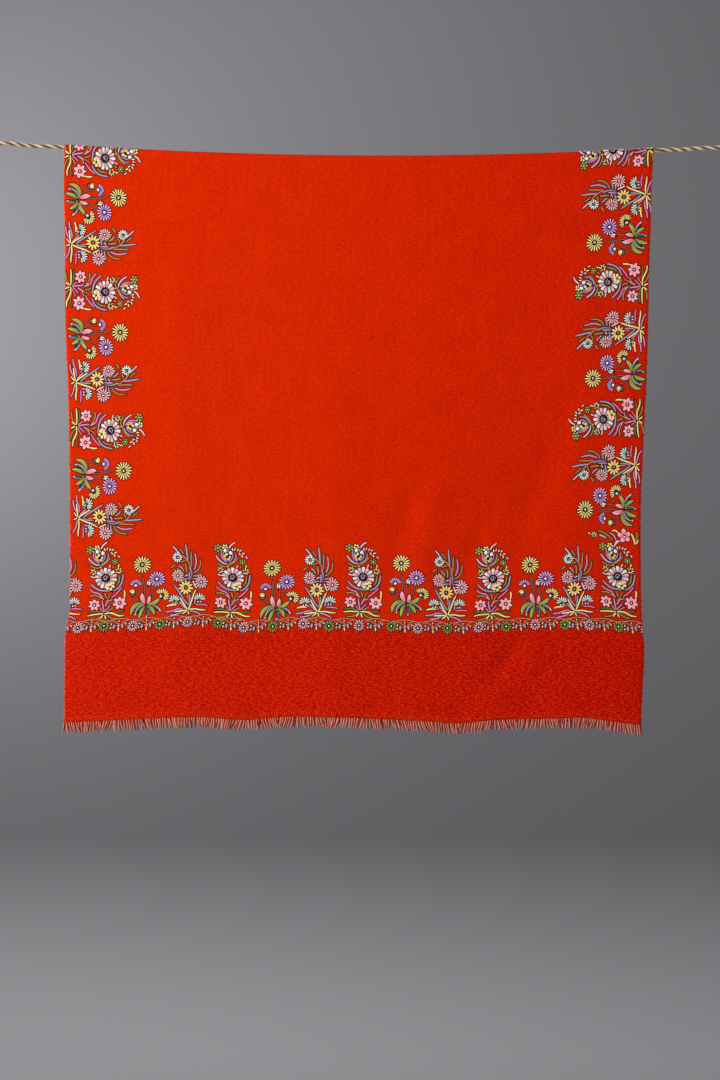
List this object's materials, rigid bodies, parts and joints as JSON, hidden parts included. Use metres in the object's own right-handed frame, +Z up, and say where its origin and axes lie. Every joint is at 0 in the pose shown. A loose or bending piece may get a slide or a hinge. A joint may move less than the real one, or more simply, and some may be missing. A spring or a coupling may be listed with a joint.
{
  "type": "pashmina shawl hung on a rope",
  "caption": "Embroidered shawl folded in half over a taut jute rope, its falls hanging flat, the rope knotted off at wall eyes.",
  "frame": {"origin": "middle of the rope's centreline, where the shawl is folded over it", "axes": "+X along the rope to the viewer's right, -Y towards the viewer, +Z up"},
  "size_m": [1.3648, 0.0669, 1.0308],
  "materials": {
    "shawl_cloth": "fine plain-woven wool, orange-red, soft sheen",
    "fringe_yarn": "loose wool yarns, orange-red",
    "jute": "two-ply jute, hairy",
    "eye_steel": "satin"
  },
  "bodies": {
    "root": {"front_fall": "shawl_cloth", "fold_over_rope": "shawl_cloth", "back_fall": "shawl_cloth", "fringe_front": "fringe_yarn", "fringe_back": "fringe_yarn", "rope": "jute", "knot_left": "jute", "knot_right": "jute", "eye_left": "eye_steel", "eye_right": "eye_steel"}
  },
  "joints": []
}
